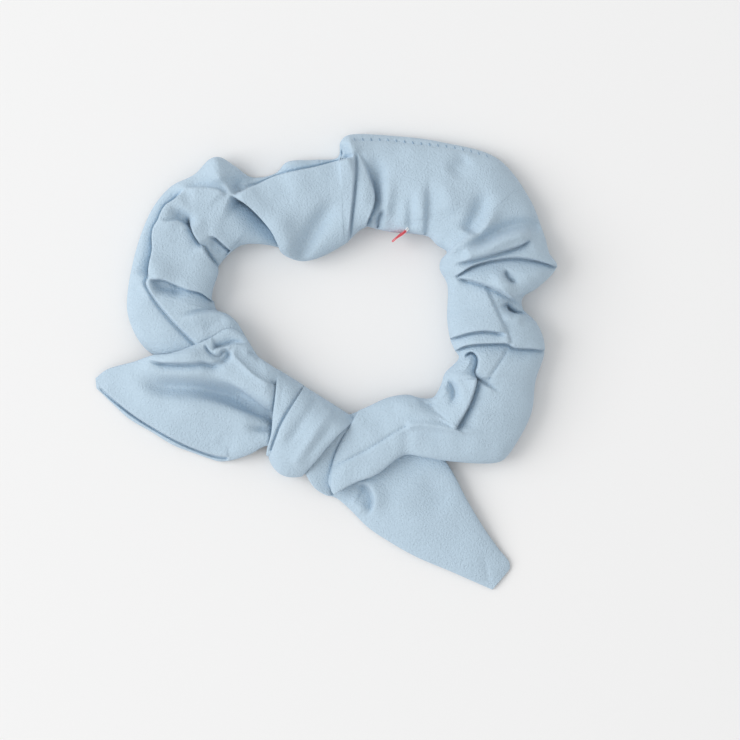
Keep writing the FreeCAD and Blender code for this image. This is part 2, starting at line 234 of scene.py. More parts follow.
def drape(name, table, rows, fullness, lay_folds, closed, lowest, clearance, rounds, material,
          bed=None):
    """One closed two-layer piece of cloth: its padded shape, its folds, then the mesh. bed gives
    the height of the piece it lies on."""
    plan, height, swell = tube(table, *rows, fullness)
    touch = np.where(swell >= 0, 1.0, np.exp(swell * 4)) * np.ones_like(height)
    cloth = Cloth(plan.reshape(-1, 2), touch.reshape(-1))
    lay_folds(cloth)
    moved = (cloth.plan + cloth.shift).reshape(plan.shape)
    lifted = height + cloth.lift.reshape(height.shape)
    floor = lowest[:, None] + clearance * np.clip(swell, 0, 1) ** 0.7
    if rows[0] == rows[1]:
        facing = lifted[:, (-np.arange(lifted.shape[1])) % lifted.shape[1]]
        lifted = np.where(swell < 0, np.minimum(lifted, facing - 0.4 * np.abs(swell)), lifted)
    lifted = np.maximum(lifted, floor)
    if bed:
        below = np.array([bed(x, y) for x, y in moved.reshape(-1, 2)]).reshape(lifted.shape)
        lifted = np.maximum(lifted, below + 0.3 + 0.6 * np.clip(swell, 0, 1))
    grid = relax(np.dstack([moved, lifted]), rounds, closed)
    count, across = height.shape
    last = count if closed else count - 1
    faces = [
        (i * across + j, i * across + (j + 1) % across,
         (i + 1) % count * across + (j + 1) % across, (i + 1) % count * across + j)
        for i in range(last) for j in range(across)
    ]
    if not closed:
        faces += end_caps(count, across)
    return new_piece(name, grid.reshape(-1, 3), faces, material)


def end_caps(count, across):
    """Closes both ends of an open tube whose upper and lower layers have the same points."""
    faces = []
    for start, order in ((0, 1), ((count - 1) * across, -1)):
        for j in range(across // 2):
            upper, lower = j, (across - j) % across
            next_upper, next_lower = j + 1, across - j - 1
            ring = [start + k for k in (upper, lower, next_lower, next_upper)][::order]
            faces.append(list(dict.fromkeys(ring)))
    return [tuple(face) for face in faces if len(face) > 2]


# ---------------------------------------------------------------- materials


def link(tree, a, a_socket, b, b_socket):
    tree.links.new(a.outputs[a_socket], b.inputs[b_socket])


def crepe(name, colour):
    """Soft matte crepe: a fine pebbled grain over broad soft patches of tone, with a little sheen."""
    material = bpy.data.materials.new(name)
    material.use_nodes = True
    tree = material.node_tree
    shader = tree.nodes["Principled BSDF"]
    shader.inputs["Roughness"].default_value = 0.85
    shader.inputs["Specular IOR Level"].default_value = 0.25
    shader.inputs["Sheen Weight"].default_value = 0.25
    shader.inputs["Sheen Roughness"].default_value = 0.5
    shader.inputs["Sheen Tint"].default_value = (0.80, 0.88, 1.0, 1)
    place = tree.nodes.new("ShaderNodeTexCoord")
    grain = tree.nodes.new("ShaderNodeTexNoise")
    grain.inputs["Scale"].default_value = 1400
    grain.inputs["Detail"].default_value = 2.0
    grain.inputs["Roughness"].default_value = 0.6
    link(tree, place, "Object", grain, "Vector")
    patches = tree.nodes.new("ShaderNodeTexNoise")
    patches.inputs["Scale"].default_value = 90
    patches.inputs["Detail"].default_value = 3.0
    link(tree, place, "Object", patches, "Vector")
    tint = tree.nodes.new("ShaderNodeMix")
    tint.data_type = "RGBA"
    tint.inputs["A"].default_value = (*[c * 0.90 for c in colour], 1)
    tint.inputs["B"].default_value = (*[min(1.0, c * 1.10) for c in colour], 1)
    blend = tree.nodes.new("ShaderNodeMath")
    blend.operation = "MULTIPLY_ADD"
    blend.inputs[1].default_value = 0.75
    link(tree, grain, "Fac", blend, 0)
    quarter = tree.nodes.new("ShaderNodeMath")
    quarter.operation = "MULTIPLY"
    quarter.inputs[1].default_value = 0.25
    link(tree, patches, "Fac", quarter, 0)
    link(tree, quarter, "Value", blend, 2)
    link(tree, blend, "Value", tint, "Factor")
    link(tree, tint, "Result", shader, "Base Color")
    bump = tree.nodes.new("ShaderNodeBump")
    bump.inputs["Strength"].default_value = 0.8
    bump.inputs["Distance"].default_value = 0.0007
    link(tree, grain, "Fac", bump, "Height")
    link(tree, bump, "Normal", shader, "Normal")
    return material


def plain(name, colour, roughness, grain_scale=900, grain_depth=0.0001):
    """A matte thread, ribbon or paper-like finish with a fine grain."""
    material = bpy.data.materials.new(name)
    material.use_nodes = True
    tree = material.node_tree
    shader = tree.nodes["Principled BSDF"]
    shader.inputs["Roughness"].default_value = roughness
    place = tree.nodes.new("ShaderNodeTexCoord")
    grain = tree.nodes.new("ShaderNodeTexNoise")
    grain.inputs["Scale"].default_value = grain_scale
    link(tree, place, "Object", grain, "Vector")
    tint = tree.nodes.new("ShaderNodeMix")
    tint.data_type = "RGBA"
    tint.inputs["A"].default_value = (*[c * 0.9 for c in colour], 1)
    tint.inputs["B"].default_value = (*colour, 1)
    link(tree, grain, "Fac", tint, "Factor")
    link(tree, tint, "Result", shader, "Base Color")
    bump = tree.nodes.new("ShaderNodeBump")
    bump.inputs["Strength"].default_value = 0.5
    bump.inputs["Distance"].default_value = grain_depth
    link(tree, grain, "Fac", bump, "Height")
    link(tree, bump, "Normal", shader, "Normal")
    return material


BLUE = (0.475, 0.600, 0.706)
casing_cloth = crepe("casing_crepe", BLUE)
sash_cloth = crepe("sash_crepe", BLUE)
thread_finish = plain("sewing_thread", (0.26, 0.38, 0.51), 0.8)
elastic_finish = plain("braided_elastic", (0.85, 0.85, 0.82), 0.8)
ribbon_red = plain("label_red", (0.80, 0.11, 0.14), 0.6)
ribbon_white = plain("label_white", (0.9, 0.9, 0.9), 0.6)


# ---------------------------------------------------------------- the gathered ring

# The ring is laid out round a point inside its opening. Its outer and inner outlines are
# drawn from there, anticlockwise from the strap beside the knot.
HUB = np.array([8.0, 6.0])

OUTER = [
    (3.0, -48.9), (4.8, -47.7), (10.4, -44.6), (18.1, -41.7), (28.5, -34.5), (36.0, -35.3),
    (44.8, -36.7),
    (61.1, -37.5), (65.2, -36.2), (72.0, -26.5), (75.6, -18.3), (77.0, -7.0), (80.4, 4.6),
    (77.6, 13.8), (72.2, 19.8), (72.2, 23.6), (77.6, 27.2), (85.0, 35.5), (82.0, 40.0), (80.4, 46.0),
    (74.4, 60.9), (62.8, 75.1), (42.2, 81.1), (27.0, 83.2), (7.5, 83.4), (5.0, 81.0),
    (4.0, 75.8), (-4.8, 74.6), (-14.8, 73.7), (-19.0, 69.9), (-28.0, 68.3), (-33.6, 71.9),
    (-39.6, 75.4), (-43.2, 74.6), (-49.0, 69.0), (-57.5, 64.7), (-63.7, 57.8), (-68.4, 47.8),
    (-72.3, 33.2), (-73.8, 20.0), (-71.0, 10.5), (-65.6, 3.5), (-57.0, -0.5), (-45.0, -4.0),
    (-33.0, -13.0), (-19.0, -27.0), (-5.0, -39.0), (1.2, -46.6),
]
INNER = [
    (8.5, -19.4), (15.6, -16.3), (22.6, -13.2), (30.0, -12.2), (34.4, -13.4), (39.0, -13.2),
    (42.0, -8.6), (43.5, -4.3), (48.7, 1.5), (46.9, 4.5), (45.2, 9.0), (44.3, 16.0), (44.3, 28.5),
    (41.6, 34.0), (42.0, 37.5), (44.2, 40.3), (40.5, 42.9), (37.6, 45.9), (33.0, 46.9), (23.3, 47.8),
    (18.3, 48.9), (14.2, 49.6), (6.8, 43.5), (-3.0, 38.2), (-9.5, 37.0), (-14.6, 38.6),
    (-18.0, 42.0), (-30.0, 43.2), (-34.2, 41.2), (-40.0, 34.8), (-40.2, 32.0), (-41.8, 26.8),
    (-42.0, 22.8), (-40.5, 18.9), (-36.8, 17.5), (-33.4, 14.8), (-30.4, 10.0), (-26.5, 3.5),
    (-22.0, -3.5), (-14.0, -12.0), (0.0, -21.0),
]

# Round the ring: direction from the hub in degrees, the crown's height, the height of the
# underside, and of the inner and outer edges.
RING_HEIGHTS = [
    (-97, 9.5, 3.4, 7.5, 8.2), (-85, 11.0, 3.4, 8.0, 8.2), (-72, 12.0, 3.4, 7, 8.2),
    (-55, 13.0, 3.2, 6, 7.0), (-38, 14, 1.0, 5, 3.5),
    (-20, 15, 0.4, 6.5, 4.0), (0, 15, 0.4, 6.5, 5.0), (20, 16, 0.4, 6.5, 5.5), (35, 16, 0.4, 6.5, 4.0),
    (55, 14, 0.4, 6.5, 2.6), (80, 12, 0.4, 6, 2.4), (90, 13, 0.4, 6, 4.0), (105, 15, 0.4, 5.5, 5.0),
    (125, 13, 0.4, 6, 4.5), (145, 14, 0.4, 6, 4.5), (165, 14, 0.4, 6, 4.5), (180, 12, 0.4, 5.5, 4.0),
    (187, 10.0, 0.5, 4, 3.0), (196, 3.9, 0.4, 2.2, 1.6), (225, 3.7, 0.4, 2.2, 1.8),
    (232, 8.0, 0.6, 4, 4), (245, 9.6, 0.8, 5, 5), (254, 9.0, 1.6, 5, 5),
    (262, 6, 2.6, 4.5, 4.5),
]


def by_direction(points):
    """An outline as distance from the hub for any direction, once round."""
    rel = line_through(points, 0.5, closed=True) - HUB
    direction = np.unwrap(np.arctan2(rel[:, 1], rel[:, 0]))
    order = np.argsort(direction)
    direction, distance = direction[order], np.linalg.norm(rel, axis=1)[order]
    turn = 2 * math.pi
    direction = np.concatenate([direction - turn, direction, direction + turn])
    return lambda wanted: np.interp(wanted, direction, np.tile(distance, 3))


def heights_round(directions):
    """The heights of RING_HEIGHTS for each direction, with the steps between rows smoothed out."""
    table = np.array(RING_HEIGHTS, float)
    at = np.radians(np.concatenate([table[:, 0] - 360, table[:, 0], table[:, 0] + 360]))
    out = []
    for column in table[:, 1:].T:
        steps = np.interp(directions, at, np.tile(column, 3))
        kernel = np.hanning(41)
        padded = np.concatenate([steps[-20:], steps, steps[:20]])
        out.append(np.convolve(padded, kernel / kernel.sum(), "valid"))
    return out


def lay_ring_folds(cloth):
    """Every fold of the ring, region by region, each stroke drawn with its high side to the left."""
    # Left: the inner panels lap over the outer edge, then the seam runs on down.
    cloth.ridge([(-64.7, 29.0), (-60.1, 28.0), (-54.6, 26.5), (-49.0, 24.8)], -1.8, 1.5,
                ends=(0.2, 0.5))
    cloth.fold([(-36.6, 60.1), (-38.7, 62.6), (-41.7, 63.7), (-46.9, 64.0), (-50.6, 63.7),
               (-52.9, 63.0)], 1.4, 1.8, 0.8,
               ends=(0.2, 0.3), drop_width=3.0, turn=1.6, slot=0)
    cloth.fold([(-51.5, 63.5), (-54.4, 60.9), (-56.2, 59.2), (-59.2, 57.2), (-60.9, 54.2),
               (-61.7, 52.2), (-63.5, 49.0), (-64.0, 46.4), (-63.9, 41.2), (-64.8, 35.6),
               (-65.8, 30.2)],
               2.0, 4.4, 1.4, ends=(0.15, 0.1), drop_width=4.2, slot=1.6)
    cloth.fold([(-63.9, 40.3), (-65.3, 31.1), (-66.1, 29.0), (-63.8, 24.3), (-57.0, 15.7),
               (-48.4, 6.8)], 0.8, 1.4, 0.5, ends=(0.1, 0), drop_width=1.6)
    cloth.ridge([(-58.4, 56.0), (-55.1, 54.6), (-52.1, 52.7), (-50.2, 51.2)], -3.2, 2.0, ends=(0.6, 0))
    cloth.fold([(-50.3, 48.4), (-52.1, 50.5), (-54.4, 51.7), (-57.0, 51.4), (-59.2, 51.4),
               (-60.7, 53.5)], 0.9, 1.4, 0.6,
               ends=(0.1, 0.5), lip_width=2.5, drop_width=1.8, slot=0.4)
    cloth.fold([(-50.3, 54.4), (-50.1, 50.9), (-49.5, 49.0), (-48.4, 46.4), (-46.9, 44.1),
               (-45.1, 41.5)], 1.8, 2.4, 1.2,
               ends=(0.3, 0.2), lip_width=5, drop_width=1.6, slot=2.0)
    cloth.fold([(-40.0, 34.1), (-43.2, 38.2), (-45.1, 41.5), (-47.3, 44.9)], 1.2, 2.4, 0.9,
               ends=(0, 0.4), drop_width=2.2, slot=1.2)
    cloth.fold([(-65.6, 30.0), (-60.1, 30.2), (-54.6, 28.0), (-50.3, 26.5), (-46.0, 25.4),
               (-42.0, 22.5)], 2.0, 2.5, 1.4, ends=(0.15, 0))
    cloth.valley([(-64.4, 27.7), (-58.3, 26.2), (-50.9, 25.9)], 3.0, 2.2)
    cloth.fold([(-37.4, 18.8), (-42.3, 18.6), (-48.4, 17.5), (-54.6, 16.1)], 1.2, 1.2, 0.4,
               ends=(0, 0.5), turn=2.5)
    cloth.valley([(-46.0, 10.2), (-41.1, 13.9), (-34.9, 16.1)], 1.2, 3.0)
    cloth.fold([(-43.6, 45.8), (-41.0, 45.7), (-38.4, 43.6), (-35.3, 40.9)], 1.2, 3.0, 0.9,
               ends=(0.35, 0.02), drop_width=1.9)
    cloth.ridge([(-43.5, 44.0), (-40.5, 41.8), (-37.4, 39.1)], -1.2, 1.8)
    cloth.ridge([(-41.1, 74.7), (-39.8, 69.8), (-38.6, 64.9)], 2.0, 3.0, ends=(0, 0.3))
    cloth.valley([(-27.6, 67.9), (-31.2, 64.9), (-35.2, 61.8)], 3.0, 4.0, ends=(0, 0.2))
    cloth.ridge([(-73.6, 23.1), (-71.2, 24.3), (-67.5, 28.0)], -1.6, 4.0, ends=(0, 0.4))
    # The wide flap: its left and upper edges lap over the cloth behind them.
    cloth.fold([(-35.2, 61.1), (-29.4, 57.8), (-23.9, 52.6), (-19.6, 47.1), (-16.8, 40.9)], 3.0, 7.5,
               1.6, ends=(0.12, 0), lip_width=8, drop_width=3.6, slot=1.0)
    cloth.fold([(9.9, 75.0), (5.6, 74.1), (-3.6, 71.5), (-11.0, 69.9), (-18.3, 68.3), (-26.9, 64.4),
               (-35.2, 60.9)], 2.2, 4.5, 1.2, ends=(0.05, 0.1), drop_width=4, slot=1.6)
    cloth.ridge([(2.5, 63.7), (0.6, 56.3), (-3.8, 49.5), (-9.4, 40.3)], -3.6, 3.3, ends=(0.6, 0))
    cloth.ridge([(-19.0, 58.7), (-16.5, 50.1), (-14.0, 39.1)], 1.8, 4.5, ends=(0.5, 0))
    cloth.fold([(7.7, 43.0), (8.7, 52.6), (9.7, 61.8), (10.2, 69.2), (10.3, 77.2)], 1.0, 0.9, 0.6,
               ends=(0, 0.1), drop_width=1.6, slot=1.2)
    # The twist beside it, and the flap that lies on the flat stretch.
    cloth.fold([(14.6, 51.1), (17.1, 57.5), (17.4, 61.8), (15.8, 67.3), (13.4, 73.5), (9.4, 80.2)], 2.4,
               3.0, 1.4, ends=(0, 0.7), slot=0.8)
    cloth.ridge([(6.2, 82.1), (9.0, 79.6), (10.5, 75.3)], 1.6, 2.2, ends=(0, 0.3))
    cloth.fold([(2.3, 80.8), (4.2, 80.2), (6.0, 78.4), (6.0, 75.0)], 0.8, 1.2, 0.5)
    cloth.valley([(21.1, 56.0), (19.4, 53.2), (18.9, 49.8)], 4.0, 0.9, ends=(0.3, 0), pinch=0.4)
    cloth.ridge([(17.1, 55.1), (16.4, 52.6), (17.1, 49.5)], 1.2, 1.4, ends=(0.4, 0))
    # The flat stretch and the big bulge at the back right.
    cloth.ridge([(18.9, 77.8), (18.0, 71.0), (17.8, 62.4), (18.0, 55.1)], -2.4, 3.0, ends=(0.4, 0.2))
    cloth.ridge([(28.1, 66.1), (26.3, 58.7), (24.1, 50.8)], -1.5, 3.0, ends=(0.7, 0.0))
    cloth.ridge([(23.2, 71.0), (22.3, 61.8), (21.7, 52.6)], 1.0, 2.5, ends=(0.5, 0.1))
    cloth.ridge([(30.3, 63.7), (30.9, 57.5), (31.1, 50.8)], -1.5, 2.0, ends=(0.6, 0))
    cloth.ridge([(34.3, 67.9), (34.3, 60.0), (34.3, 51.4)], 1.0, 2.2, ends=(0.5, 0.1))
    cloth.fold([(36.0, 47.7), (36.7, 57.5), (37.0, 64.9), (38.2, 71.6)], 0.3, 1.8, 0.4, ends=(0, 0.9),
               drop_width=3.4, turn=3.0, slot=0.2)
    cloth.ridge([(52.7, 75.9), (49.0, 72.2), (45.3, 67.9)], -1.6, 3.6)
    cloth.ridge([(40.4, 69.2), (44.1, 61.8), (45.9, 52.6)], 1.6, 3.6, ends=(0.5, 0.3))
    cloth.ridge([(60.0, 64.9), (55.8, 55.1), (52.1, 46.5)], -3.4, 3.2, ends=(0.6, 0.1))
    cloth.ridge([(62.5, 60.0), (59.7, 51.4), (54.5, 46.1), (46.5, 41.8)], 3.0, 2.6, ends=(0.5, 0))
    cloth.valley([(63.7, 75.6), (68.0, 69.2), (72.3, 61.8), (76.6, 56.3)], 0.8, 1.2, ends=(0.3, 0.4))
    cloth.ridge([(80.0, 49.5), (71.1, 50.1), (63.7, 47.7), (56.4, 43.7), (50.2, 40.3)], -3.6, 2.6,
                ends=(0.1, 0.3))
    cloth.ridge([(75.4, 47.1), (68.0, 45.5), (58.8, 41.8), (49.6, 38.2)], 3.0, 1.9, ends=(0.1, 0.1))
    # Under the left end of the sash, where its folds press the ring down.
    cloth.ridge([(-46.6, 2.2), (-38.7, 3.4), (-31.3, 2.2), (-26.4, -1.2)], -6.0, 3.6, ends=(0.2, 0.2))
    # Right: folds that fan out from the inner edge.
    cloth.fold([(45.9, 35.4), (50.2, 36.8), (53.9, 37.9), (61.9, 40.0), (71.1, 42.8), (74.8, 45.1)],
               1.2, 2.6, 1.0, ends=(0.25, 0.1), drop_width=2.0)
    cloth.fold([(46.5, 30.5), (47.8, 31.7), (52.7, 34.8), (60.7, 37.2), (69.3, 38.2), (77.2, 37.2),
               (85.2, 34.9)], 1.6, 2.6, 1.2, ends=(0.1, 0), drop_width=2.0)
    cloth.fold([(47.5, 31.1), (57.0, 28.6), (65.0, 25.0), (72.6, 19.7)], 1.4, 2.4, 1.0,
               ends=(0.15, 0.3), drop_width=1.8)
    cloth.fold([(69.9, 28.0), (66.7, 29.4), (65.2, 31.4), (65.2, 34.2)], 0.9, 3.2, 0.8,
               ends=(0.35, 0.3), lip_width=3, drop_width=1.2, slot=1.4)
    cloth.ridge([(61.6, 35.4), (62.5, 30.2), (66.2, 25.6), (71.1, 22.2)], 1.5, 2.0)
    cloth.ridge([(74.2, 30.5), (76.6, 31.7)], 1.5, 4.0, ends=(0, 0))
    cloth.fold([(73.3, 17.2), (69.3, 17.6), (66.8, 18.8), (65.7, 21.2)], 1.0, 2.6, 0.6, ends=(0.2, 0.2),
               lip_width=3, drop_width=1.8, slot=1.4)
    cloth.valley([(65.3, 21.6), (66.7, 19.3), (69.0, 18.2), (71.7, 17.8)], 3.4, 1.1, ends=(0.1, 0.6))
    cloth.ridge([(64.3, 17.6), (68.0, 15.4), (72.9, 15.4)], 1.2, 2.0)
    cloth.fold([(67.4, 6.5), (66.2, 10.2), (63.4, 15.7), (60.7, 21.9), (57.9, 27.7)], 0.5, 0.7, 0.4,
               ends=(0.05, 0.05), drop_width=1.2, slot=0.3)
    cloth.fold([(46.2, 8.9), (52.7, 10.8), (58.8, 11.4), (66.5, 10.2)], 1.2, 2.2, 0.9, ends=(0, 0.2),
               drop_width=1.8)
    cloth.fold([(46.8, 4.0), (51.4, 6.2), (59.4, 6.8), (66.8, 6.6), (68.3, 5.5), (76.0, 4.9),
               (81.8, 4.3)], 1.6, 2.8, 1.2, ends=(0, 0), drop_width=2.6)
    # Lower right: the small roll, the big crease and the panels round it.
    cloth.fold([(49.9, 0.9), (51.4, 2.9), (52.9, 3.7), (54.5, 3.1), (55.7, 1.1), (55.5, -1.5),
               (54.9, -3.8), (55.1, -6.7)], 1.5, 3.2, 1.0, ends=(0.25, 0.05), drop_width=1.7)
    cloth.fold([(47.1, -25.0), (50.5, -19.0), (52.6, -14.7), (54.4, -9.2), (55.2, -3.7)], 2.0, 3.6, 1.4,
               ends=(0.05, 0.1), drop_width=1.7)
    cloth.fold([(64.2, -12.1), (60.5, -9.9), (57.1, -8.0), (55.0, -6.6)], 0.6, 1.1, 0.5, ends=(0.7, 0),
               lip_width=3, drop_width=1.3, slot=1.0)
    cloth.valley([(43.4, -6.6), (45.6, -8.0), (46.9, -10.7), (46.4, -14.0), (43.4, -16.6)], 3.8, 1.2,
                 ends=(0.3, 0.5))
    cloth.ridge([(45.3, -5.4), (48.5, -8.3), (49.4, -11.7), (48.6, -15.3)], 0.9, 1.6)
    cloth.ridge([(38.5, -15.3), (42.2, -11.7), (44.7, -9.5)], 1.2, 1.6, ends=(0.3, 0.2))
    cloth.fold([(11.2, -19.0), (6.6, -26.4), (3.8, -31.9), (1.9, -38.7), (1.4, -46.0), (2.3, -51.3)],
               0.3, 7.0, 0.6, ends=(0, 0), drop_width=6, slot=0)
    cloth.valley([(33.0, -13.5), (36.7, -15.6), (38.8, -16.4)], 1.6, 1.0, ends=(0.5, 0))
    cloth.valley([(33.0, -15.3), (41.0, -19.0), (47.1, -24.7)], 0.9, 1.2)
    cloth.ridge([(29.3, -33.8), (29.3, -28.8), (29.3, -23.9)], -1.0, 2.5, ends=(0, 0.3))
    cloth.ridge([(24.4, -16.6), (33.0, -19.0), (42.8, -23.9)], 1.0, 3.5)
    # The lengthwise seam where it shows.
    cloth.valley([(2.3, -38.7), (14.6, -32.5), (24.4, -26.4), (29.6, -23.4)], 0.9, 0.5, ends=(0, 0))
    cloth.ridge([(28.1, -23.9), (33.0, -23.2), (41.0, -23.9), (47.7, -24.9), (58.2, -25.9)], 1.9, 1.4,
                ends=(0.1, 0.4))
    cloth.valley([(66.1, 4.6), (65.0, 2.0), (62.3, -2.1), (60.1, -5.4), (58.3, -8.4)], 1.1, 0.45,
                 ends=(0, 0))
    cloth.valley([(9.1, 81.3), (22.0, 81.4), (34.3, 80.0), (45.3, 78.8), (51.5, 77.6), (59.4, 75.3)],
                 0.7, 0.5, ends=(0.05, 0.1))
    cloth.ripple(0.7, 8.0, 5.0)


def ring_table(columns):
    """The ring's cross-sections, from its inner edge to its outer edge, once round."""
    outer, inner = by_direction(OUTER), by_direction(INNER)
    fine = np.linspace(0, 2 * math.pi, 4001)
    middle = (outer(fine) + inner(fine)) / 2
    along = np.concatenate([[0], np.cumsum(np.hypot(np.diff(middle), middle[1:] * np.diff(fine)))])
    directions = np.interp(np.linspace(0, along[-1], columns, endpoint=False), along, fine)
    crown, under, inner_edge, outer_edge = heights_round(directions)
    aim = np.stack([np.cos(directions), np.sin(directions)], axis=1)
    half = (inner_edge + outer_edge) / 2
    table = np.column_stack([
        HUB + aim * inner(directions)[:, None], HUB + aim * outer(directions)[:, None],
        inner_edge, outer_edge, crown - half, half - under, np.zeros(columns),
    ])
    strap_direction = math.radians(-68)
    strap_spread = math.radians(38)
    strap = smooth_step((np.cos(directions - strap_direction) - math.cos(strap_spread)) * 6)
    return table, under, 0.75 - 0.3 * strap


def make_ring():
    """The casing: one closed tube of cloth, gathered on its elastic."""
    table, under, fullness = ring_table(RING_COLUMNS)
    return drape("gathered_casing", table, (112, 40), fullness, lay_ring_folds, True, under, 3.4, 2,
                 casing_cloth)


def finish_ring(ring):
    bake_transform(ring)
    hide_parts("casing_front_left", "casing_front_right", "casing_left_side",
                "casing_right_side", "casing_back")


# ---------------------------------------------------------------- the sash


def lay_left_tail_folds(cloth):
    # The upper lobe's crease, then the long valley that deepens towards the knot.
    cloth.fold([(-66.0, 1.1), (-62.0, -0.1), (-55.9, -0.5), (-48.9, -0.4), (-45.5, -0.0), (-41.2, -0.7),
               (-37.7, 0.3)], 1.4, 3.4, 0.6,
               ends=(0.25, 0.15), lip_width=3, drop_width=2.0, slot=1.4)
    cloth.ridge([(-62.0, 2.2), (-53.4, 2.6), (-44.2, 3.7)], 1.4, 2.2)
    cloth.ridge([(-71.2, -6.1), (-61.9, -8.3), (-54.4, -8.9), (-47.0, -9.7), (-38.7, -11.4),
                (-32.5, -13.5), (-26.4, -16.6), (-19.3, -20.6)], -8.6, 3.1, ends=(0.7, 0))
    cloth.ridge([(-73.1, -4.6), (-66.9, -7.0), (-61.9, -9.1), (-54.4, -9.7), (-47.0, -10.3),
                (-38.7, -12.0), (-30.1, -15.3)], -4.4, 3.4, ends=(0.35, 0.7))
    cloth.fold([(-42.4, -7.2), (-37.4, -7.7), (-33.4, -9.2), (-28.5, -12.4), (-24.0, -16.1),
               (-19.3, -19.0)], 1.4, 2.2, 1.2,
               ends=(0.5, 0), lip_width=4.5, drop_width=3.0, turn=1.0, slot=0.8)
    cloth.fold([(-19.3, -21.9), (-28.5, -19.1), (-34.1, -16.9), (-39.6, -14.7), (-47.0, -12.9),
               (-53.4, -12.4)], 1.2, 2.4, 1.2,
               ends=(0, 0.7), lip_width=5, drop_width=2.6, turn=0.9, slot=0.8)
    cloth.ridge([(-62.0, -17.2), (-48.5, -19.0), (-36.2, -22.1), (-23.9, -25.8)], 1.2, 3.6,
                ends=(0.5, 0.2))
    # The edge that runs from the twist down to the knot.
    cloth.ridge([(-35.7, 3.7), (-32.2, 0.8), (-28.8, -2.6), (-25.5, -5.3), (-19.9, -8.5)], 1.4, 1.5,
                ends=(0.1, 0.1))
    cloth.fold([(-19.0, -8.7), (-25.5, -5.3), (-28.8, -2.6), (-32.2, 0.8), (-35.5, 3.7)], 0.4, 0.9, 0.4,
               ends=(0, 0.2), drop_width=2.6, turn=1.2, slot=0)
    cloth.valley([(-18.9, -8.5), (-22.7, -6.9), (-25.8, -4.9)], 1.0, 0.6, ends=(0, 0.7))
    cloth.valley([(-29.5, 3.9), (-27.5, 3.1), (-25.2, 1.7)], 1.8, 0.8, ends=(0.5, 0))
    # Where the knot's inner turn presses on it.
    cloth.valley([(-18.8, -8.0), (-19.1, -14.7), (-19.9, -20.2), (-20.4, -26.4), (-20.9, -31.3)], 1.6,
                 0.5, ends=(0.05, 0.05))
    # The twist: the strip that rises out of a dark pocket, and the small folds under it.
    cloth.fold([(-28.0, 6.0), (-30.1, 6.6), (-34.5, 6.4), (-37.9, 5.5), (-41.4, 4.7)], 0.9, 3.0, 0.6,
               ends=(0.6, 0.05),
               lip_width=1.8, drop_width=1.9, slot=1.2)
    cloth.fold([(-44.1, 6.8), (-43.4, 4.8), (-41.9, 3.3), (-39.7, 2.4), (-38.5, 3.8), (-36.8, 4.5),
               (-35.6, 3.9)], 0.5, 0.8, 0.4,
               ends=(0.2, 0.05), lip_width=1.5, drop_width=1.0, slot=1.8)
    cloth.valley([(-35.7, 3.6), (-36.2, 1.8), (-37.7, 0.4), (-40.4, -0.7)], 3.2, 0.8, ends=(0.1, 0.5))
    cloth.valley([(-30.7, -23.9), (-25.2, -24.7), (-19.6, -25.4)], 3.4, 1.1, ends=(0.7, 0))
    # The pressed lower edge, where the under layer shows below the upper one.
    cloth.fold([(-84.0, -8.9), (-78.9, -13.6), (-72.1, -19.0), (-60.5, -26.2), (-48.9, -31.9),
               (-40.4, -34.7), (-36.2, -35.1)], 0.6, 0.8, 0.4, ends=(0.06, 0.02), lip_width=2.5,
               drop_width=2.0, slot=2.2)
    cloth.ridge([(-41.1, -27.6), (-36.2, -31.3), (-33.8, -33.8)], -0.6, 2.5)
    cloth.ripple(0.7, 9.0, 3.0)


def make_left_tail(bed):
    """The short end of the sash: it leaves the knot over the ring and comes down to a point."""
    upper = [
        (-85.6, -6.1), (-80.9, -2.7), (-71.2, 0.0), (-63.8, 2.4), (-57.1, 3.1), (-49.1, 5.9),
        (-43.3, 8.4), (-35.9, 12.3), (-31.0, 10.3), (-28.1, 6.3), (-25.3, 2.0), (-21.8, -0.4),
        (-16.9, -3.7),
    ]
    lower = [
        (-85.3, -9.9), (-79.0, -16.0), (-72.9, -21.4), (-64.9, -26.1), (-56.9, -30.9),
        (-48.4, -34.2), (-43.0, -36.1), (-39.3, -37.0), (-35.9, -36.6), (-32.5, -35.7),
        (-27.6, -33.8), (-23.3, -31.4), (-17.5, -30.1),
    ]
    heights = [
        (1.0, 0.8, 0.3, 0.3, 0), (2.2, 1.0, 2.0, 0.7, 0), (5.0, 1.2, 3.5, 1.0, 0),
        (9.5, 1.2, 4.5, 1.0, 0),
        (11.5, 1.3, 5.0, 1.0, 0), (12.5, 1.3, 5.0, 1.0, 0), (12.5, 1.4, 4.8, 1.0, 0),
        (10.6, 1.8, 5.6, 1.0, 0),
        (9.6, 2.3, 5.9, 1.0, 0), (9.4, 3.1, 5.8, 1.0, 0), (10.0, 4.8, 5.1, 1.0, 0),
        (10.2, 6.8, 4.6, 1.0, 0),
        (8.6, 9.4, 2.8, 1.0, 0),
    ]
    table = sections(upper, lower, heights, TAIL_COLUMNS)
    tail = drape("left_tail_cloth", table, (110, 110), 0.85, lay_left_tail_folds, False,
                 np.full(len(table), FLOOR_GAP), 0.2, 2, sash_cloth, bed)
    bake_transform(tail)
    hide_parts("left_tail")


